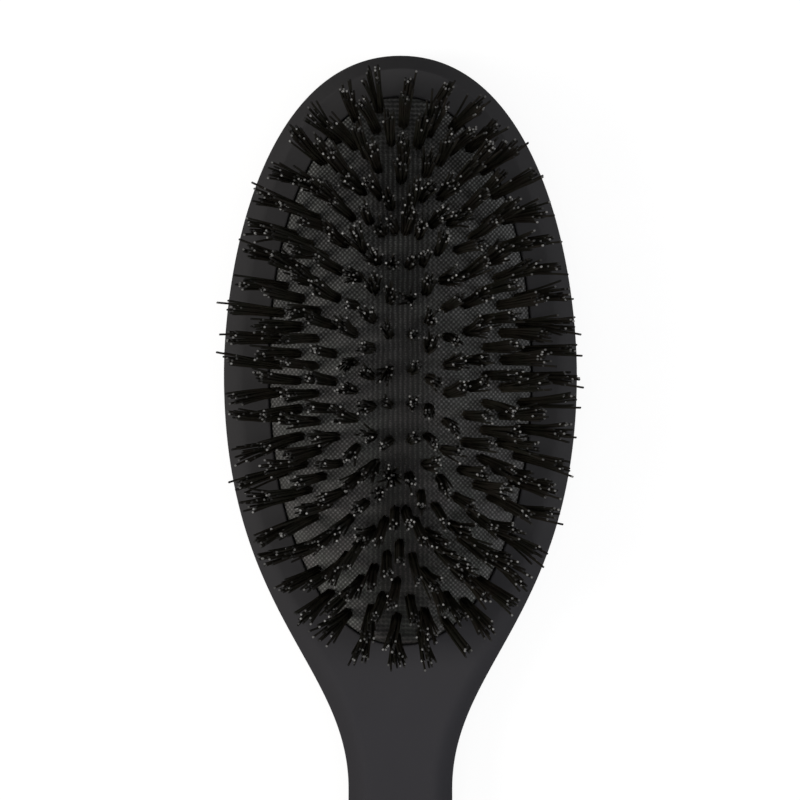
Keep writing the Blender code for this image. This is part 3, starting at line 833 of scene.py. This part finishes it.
def pad_facing(look):
    """The woven cover of the cushion, crowned, rolled under at the rim and drawn in at each tuft."""
    angles = even_angles(FACING_POINTS)
    ridge = HALF_OPENING - RIDGE_WIDTH / 2
    gap = CLEARANCE / 2
    start = gap + FACING_ROUND
    inwards = [start + (ridge - start) * k / FACING_RINGS for k in range(FACING_RINGS + 1)]
    rings = [domed_oval(angles, inward, 0) for inward in reversed(inwards)]
    for k in range(1, FACING_ROUND_STEPS + 1):
        turn = math.pi / 2 * k / FACING_ROUND_STEPS
        inward = gap + FACING_ROUND * (1 - math.sin(turn))
        rings.append(domed_oval(angles, inward, FACING_ROUND * (1 - math.cos(turn))))
    places = [place for row in range(len(ROW_SHARES)) for place in tuft_places(row)]
    roots = np.array([root for root, _, _ in places])
    for ring in rings:
        for point in ring:
            gaps = np.hypot(roots[:, 0] - point.x, roots[:, 1] - point.y)
            point.z -= DIMPLE_DEPTH * float(np.exp(-((gaps / DIMPLE_RADIUS) ** 2)).sum())
    rings.append(oval(angles, gap, FACE_UNDERSIDE + gap))
    for k in range(1, UNDER_RINGS + 1):
        inward = gap + (ridge - gap) * k / UNDER_RINGS
        rings.append(domed_oval(angles, inward, FACING_THICKNESS - gap))
    facing = object_from("pad_facing", closed_mesh("pad_facing", rings))
    thread_map(facing.data)
    facing.data.materials.append(look)
    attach(facing, "body")
    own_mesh(facing)


def pad_membrane(look):
    """The sprung rubber under the facing, with the flange that is clamped behind the opening."""
    angles = even_angles(MEMBRANE_POINTS)
    ridge = HALF_OPENING - RIDGE_WIDTH / 2
    under_facing = FACING_THICKNESS + CLEARANCE
    below = under_facing + RUBBER_THICKNESS
    inwards = [CLEARANCE + (ridge - CLEARANCE) * k / MEMBRANE_RINGS for k in range(MEMBRANE_RINGS + 1)]
    rings = [domed_oval(angles, inward, under_facing) for inward in reversed(inwards)]
    rings += [oval(angles, 0, FLANGE_TOP), oval(angles, -FLANGE_REACH, FLANGE_TOP)]
    rings += [oval(angles, -FLANGE_REACH, FLANGE_BOTTOM), oval(angles, inwards[0], FLANGE_BOTTOM)]
    rings += [domed_oval(angles, inward, below) for inward in inwards[1:]]
    membrane = object_from("pad_membrane", closed_mesh("pad_membrane", rings, CREASE_DEGREES))
    membrane.data.materials.append(look)
    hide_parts("rubber_pad")
    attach(membrane, "body")
    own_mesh(membrane)


# ---------------------------------------------------------------- the tufts

def tuft_tree(look):
    """Geometry nodes that grow a bundle of filaments and its guide filament on each point."""
    tree = bpy.data.node_groups.new("bristle_tufts", "GeometryNodeTree")
    face = tree.interface
    face.new_socket("Geometry", in_out="INPUT", socket_type="NodeSocketGeometry")
    sizes = (
        ("Bundle Length", BUNDLE_LENGTH),
        ("Bundle Radius", BUNDLE_RADIUS),
        ("Filament Radius", FILAMENT_RADIUS),
        ("Tip Spread", TIP_SPREAD),
        ("Tuft Sway", TUFT_SWAY),
        ("Guide Length", GUIDE_LENGTH),
        ("Guide Offset", GUIDE_OFFSET),
        ("Root Depth", ROOT_DEPTH),
    )
    for name, value in sizes:
        made = face.new_socket(name, in_out="INPUT", socket_type="NodeSocketFloat")
        made.default_value = value
    counts = (("Fewest Filaments", FEWEST_FILAMENTS), ("Most Filaments", MOST_FILAMENTS), ("Seed", 0))
    for name, value in counts:
        made = face.new_socket(name, in_out="INPUT", socket_type="NodeSocketInt")
        made.default_value = value
    face.new_socket("Geometry", in_out="OUTPUT", socket_type="NodeSocketGeometry")
    given = put(tree, "NodeGroupInput").outputs

    def chance(low, high, salt, kind="FLOAT"):
        """A random value for each element, the same each run. Each kind has inputs of its own."""
        first, result = {"FLOAT": (2, 1), "INT": (4, 2)}[kind]
        seed = sums(tree, "ADD", sums(tree, "MULTIPLY", given["Seed"], SEED_STEP), salt)
        values = {first: low, first + 1: high, "Seed": seed}
        return put(tree, "FunctionNodeRandomValue", values, data_type=kind).outputs[result]

    def attribute(name, kind="FLOAT_VECTOR"):
        return put(tree, "GeometryNodeInputNamedAttribute", {"Name": name}, data_type=kind).outputs[0]

    def store(geometry, name, value, kind="FLOAT_VECTOR"):
        values = {"Geometry": geometry, "Name": name, "Value": value}
        return put(tree, "GeometryNodeStoreNamedAttribute", values, data_type=kind).outputs["Geometry"]

    def scaled(vector, factor):
        return put(tree, "ShaderNodeVectorMath", {0: vector, "Scale": factor}, operation="SCALE").outputs[0]

    def chance_ways(ranges, salts):
        """A random direction along and across the row."""
        along, across = (chance(*limits, salt) for limits, salt in zip(ranges, salts))
        return vectors(tree, "ADD", scaled(row_way, along), scaled(away, across))

    lean, row_way = attribute("lean"), attribute("row_way")
    away = vectors(tree, "CROSS_PRODUCT", lean, row_way)

    # Each tuft opens by its own amount, and sways a little to one side.
    points = put(tree, "GeometryNodeMeshToPoints", {"Mesh": given["Geometry"]}).outputs[0]
    points = store(points, "opening", chance(*OPENING_SHARES, 1), "FLOAT")
    points = store(points, "sway", scaled(chance_ways(SWAY_SHARES, (2, 3)), given["Tuft Sway"]))
    count = chance(given["Fewest Filaments"], given["Most Filaments"], 4, "INT")
    copies = put(tree, "GeometryNodeDuplicateElements", {"Geometry": points, "Amount": count}, domain="POINT")
    number = copies.outputs["Duplicate Index"]

    # The filaments fill a disc by the golden angle.
    turn = sums(tree, "ADD", sums(tree, "MULTIPLY", number, GOLDEN_ANGLE), chance(*TURN_RANGE, 5))
    filled = sums(tree, "SQRT", sums(tree, "DIVIDE", sums(tree, "ADD", number, 0.5), given["Most Filaments"]))
    sideways = vectors(
        tree,
        "ADD",
        scaled(row_way, sums(tree, "MULTIPLY", sums(tree, "COSINE", turn), filled)),
        scaled(away, sums(tree, "MULTIPLY", sums(tree, "SINE", turn), filled)),
    )
    strays = [
        sums(tree, "MULTIPLY", sums(tree, "POWER", chance(-1, 1, salt), STRAY_RARITY), STRAY_SHARE)
        for salt in (6, 7)
    ]
    stray = vectors(tree, "ADD", scaled(row_way, strays[0]), scaled(away, strays[1]))
    spread = sums(tree, "MULTIPLY", attribute("opening", "FLOAT"), given["Tip Spread"])
    bundle = copies.outputs["Geometry"]
    bundle = store(bundle, "foot", scaled(sideways, given["Bundle Radius"]))
    opened = scaled(vectors(tree, "ADD", sideways, stray), spread)
    bundle = store(bundle, "splay", vectors(tree, "ADD", opened, attribute("sway")))
    reach = sums(tree, "MULTIPLY", given["Bundle Length"], chance(*LENGTH_SHARES, 8))
    bundle = store(bundle, "reach", reach, "FLOAT")
    bundle = store(bundle, "thick", chance(*THICKNESS_SHARES, 9), "FLOAT")

    # One longer guide filament stands beside each bundle.
    guide = store(points, "foot", scaled(row_way, given["Guide Offset"]))
    lone = scaled(chance_ways(GUIDE_SPLAY_SHARES, (10, 11)), given["Tip Spread"])
    guide = store(guide, "splay", vectors(tree, "ADD", lone, attribute("sway")))
    reach = sums(tree, "MULTIPLY", given["Guide Length"], chance(*GUIDE_LENGTH_SHARES, 12))
    guide = store(guide, "reach", reach, "FLOAT")
    guide = store(guide, "thick", chance(*GUIDE_THICKNESS_SHARES, 13), "FLOAT")
    joined = put(tree, "GeometryNodeJoinGeometry")
    for branch in (guide, bundle):
        tree.links.new(branch, joined.inputs[0])
    # Which tips get a painted glint, most of them faint
    painted_shine = sums(tree, "POWER", chance(0, 1, 14), PAINTED_GLINT_RARITY)
    everyone = store(joined.outputs[0], "painted_shine", painted_shine, "FLOAT")
    everyone = store(everyone, "root", put(tree, "GeometryNodeInputPosition").outputs[0])

    # Every point becomes a curve that is then drawn out from its root.
    line = put(tree, "GeometryNodeCurvePrimitiveLine", {"End": (0, 0, 1)})
    line = put(tree, "GeometryNodeResampleCurve", {"Curve": line.outputs[0], "Count": FILAMENT_POINTS})
    placed = put(tree, "GeometryNodeInstanceOnPoints", {"Points": everyone, "Instance": line.outputs[0]})
    curves = put(tree, "GeometryNodeRealizeInstances", {"Geometry": placed.outputs[0]}).outputs[0]
    factor = put(tree, "GeometryNodeSplineParameter").outputs["Factor"]
    left = sums(tree, "POWER", sums(tree, "SUBTRACT", 1, factor), TIP_CROWDING)
    curves = store(curves, "tip_share", sums(tree, "SUBTRACT", 1, left), "FLOAT")
    share = attribute("tip_share", "FLOAT")
    drawn = sums(tree, "MULTIPLY", share, sums(tree, "ADD", attribute("reach", "FLOAT"), given["Root Depth"]))
    up = scaled(lean, sums(tree, "SUBTRACT", drawn, given["Root Depth"]))
    out = scaled(attribute("splay"), sums(tree, "POWER", share, SPLAY_CURVE))
    start = vectors(tree, "ADD", attribute("root"), attribute("foot"))
    place = vectors(tree, "ADD", start, vectors(tree, "ADD", up, out))
    moved = put(tree, "GeometryNodeSetPosition", {"Geometry": curves, "Position": place})
    taper = ranged(tree, share, TAPER_START_SHARE, 1, 1, TAPER_END_SHARE)
    thickness = sums(tree, "MULTIPLY", taper, attribute("thick", "FLOAT"))
    sized = put(tree, "GeometryNodeSetCurveRadius", {"Curve": moved.outputs[0], "Radius": thickness})
    size = {"Resolution": FILAMENT_SIDES, "Radius": given["Filament Radius"]}
    profile = put(tree, "GeometryNodeCurvePrimitiveCircle", size)
    parts = {"Curve": sized.outputs[0], "Profile Curve": profile.outputs[0], "Fill Caps": True}
    tubes = put(tree, "GeometryNodeCurveToMesh", parts)
    realised = put(tree, "GeometryNodeRealizeInstances", {"Geometry": tubes.outputs[0]})
    finished = put(tree, "GeometryNodeSetMaterial", {"Geometry": realised.outputs[0], "Material": look})
    put(tree, "NodeGroupOutput", {"Geometry": finished.outputs[0]})
    return tree


def row_points(row):
    """A mesh of the roots of a row, which carries each tuft's directions."""
    places = tuft_places(row)
    mesh = bpy.data.meshes.new("tuft_roots")
    mesh.from_pydata([root for root, _, _ in places], [], [])
    for name, part in (("lean", 1), ("row_way", 2)):
        layer = mesh.attributes.new(name, "FLOAT_VECTOR", "POINT")
        layer.data.foreach_set("vector", [value for place in places for value in place[part]])
    return mesh


def bristle_row(row, tree):
    """The tufts of one row as a plain mesh, which sinks with its row of the cushion."""
    maker = object_from("tuft_maker", row_points(row))
    modifier = maker.modifiers.new("tufts", "NODES")
    modifier.node_group = tree
    sockets = {item.name: item.identifier for item in tree.interface.items_tree if item.in_out == "INPUT"}
    modifier[sockets["Seed"]] = row + 1
    bpy.context.view_layer.update()
    graph = bpy.context.evaluated_depsgraph_get()
    mesh = bpy.data.meshes.new_from_object(maker.evaluated_get(graph))
    bpy.data.objects.remove(maker, do_unlink=True)
    last = row == len(ROW_SHARES) - 1
    name = "bristles_middle" if last else f"bristles_row_{row + 1}"
    for attribute in list(mesh.attributes):
        if attribute.name not in ("position", "tip_share", "painted_shine") and not attribute.is_required:
            if not attribute.name.startswith("."):
                mesh.attributes.remove(attribute)
    mesh.shade_smooth()
    bristles = object_from(name, mesh)
    stem = "tufts_middle" if last else f"tufts_row_{row + 1}_"
    nodes = [node for node in frame["nodes"] if node.startswith(stem)]
    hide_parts(*nodes)
    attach(bristles, "cushion_middle" if last else f"cushion_row_{row + 1}")


def pressed_share():
    """How much of its height the crown keeps when the middle tufts have sunk as far as they go."""
    press = next(joint for joint in frame["joints"] if joint["name"] == "cushion_press")
    heights = [root.z - FACING_EDGE for root, _, _ in tuft_places(len(ROW_SHARES) - 1)]
    return 1 - press["range_m"][1] / (sum(heights) / len(heights))


# ---------------------------------------------------------------- floor, light and camera

def white_floor():
    """A plain floor that the camera and reflections see as white, and that keeps a faint soft shadow."""
    shape = bmesh.new()
    sides = ((-1, -1), (1, -1), (1, 1), (-1, 1))
    corners = [(x * FLOOR_REACH, y * FLOOR_REACH, -FLOOR_GAP) for x, y in sides]
    shape.faces.new(add_ring(shape, corners))
    mesh = bpy.data.meshes.new("floor")
    shape.to_mesh(mesh)
    shape.free()
    floor = object_from("floor", mesh)
    made, tree, shader = material("floor_white")
    shader.inputs["Base Color"].default_value = FLOOR_GREY
    shader.inputs["Roughness"].default_value = FLOOR_ROUGHNESS
    shader.inputs["Specular IOR Level"].default_value = 0
    path = put(tree, "ShaderNodeLightPath").outputs
    seen = sums(tree, "MAXIMUM", path["Is Camera Ray"], path["Is Glossy Ray"])
    seen = sums(tree, "MAXIMUM", seen, path["Is Transmission Ray"])
    shader.inputs["Emission Color"].default_value = WHITE
    tree.links.new(sums(tree, "MULTIPLY", seen, FLOOR_GLOW), shader.inputs["Emission Strength"])
    mesh.materials.append(made)


def sky():
    """A dim, even surround."""
    world = bpy.data.worlds.new("studio")
    world.use_nodes = True
    back = world.node_tree.nodes["Background"]
    back.inputs["Color"].default_value = WHITE
    back.inputs["Strength"].default_value = SURROUND_LIGHT
    bpy.context.scene.world = world


def softbox(name, place, size, power, colour):
    data = bpy.data.lights.new(name, "AREA")
    data.shape = "RECTANGLE"
    data.size, data.size_y = size
    data.energy = power
    data.color = colour
    lamp = bpy.data.objects.new(name, data)
    bpy.context.scene.collection.objects.link(lamp)
    lamp.location = place
    aim = Vector(LIGHT_AIM) - Vector(place)
    lamp.rotation_euler = aim.to_track_quat("-Z", "Y").to_euler()


def camera():
    data = bpy.data.cameras.new("photo_camera")
    data.sensor_width = SENSOR_WIDTH
    data.lens = SENSOR_WIDTH * CAMERA_DISTANCE * PIXELS_PER_METRE / IMAGE_PIXELS
    data.clip_start, data.clip_end = NEAREST_SEEN, FARTHEST_SEEN
    eye = bpy.data.objects.new("photo_camera", data)
    bpy.context.scene.collection.objects.link(eye)
    aside = (IMAGE_PIXELS / 2 - MIDDLE_LINE_PIXEL) / PIXELS_PER_METRE
    along = (WIDEST_ROW_PIXEL - IMAGE_PIXELS / 2) / PIXELS_PER_METRE
    eye.location = (aside, along, BODY_DEPTH - HEAD_DROP + CAMERA_DISTANCE)
    bpy.context.scene.camera = eye


# ---------------------------------------------------------------- the whole scene

bpy.context.scene.view_settings.view_transform = "Standard"
coating = soft_touch()
front_shell_skin(coating)
back_shell_skin(coating)
keep_share = pressed_share()
pad_facing(woven_facing())
pad_membrane(membrane_rubber())
tufts = tuft_tree(bristle_nylon())
for row_number in range(len(ROW_SHARES)):
    bristle_row(row_number, tufts)
plastic, steel = ring_plastic(), screw_steel()
for node_name, node_object in frame["nodes"].items():
    if node_name == "pad_retaining_ring" or node_name.startswith("ring_screw"):
        node_object.data.materials.clear()
        node_object.data.materials.append(plastic if node_name == "pad_retaining_ring" else steel)
white_floor()
sky()
for settings in SOFTBOXES:
    softbox(*settings)
camera()
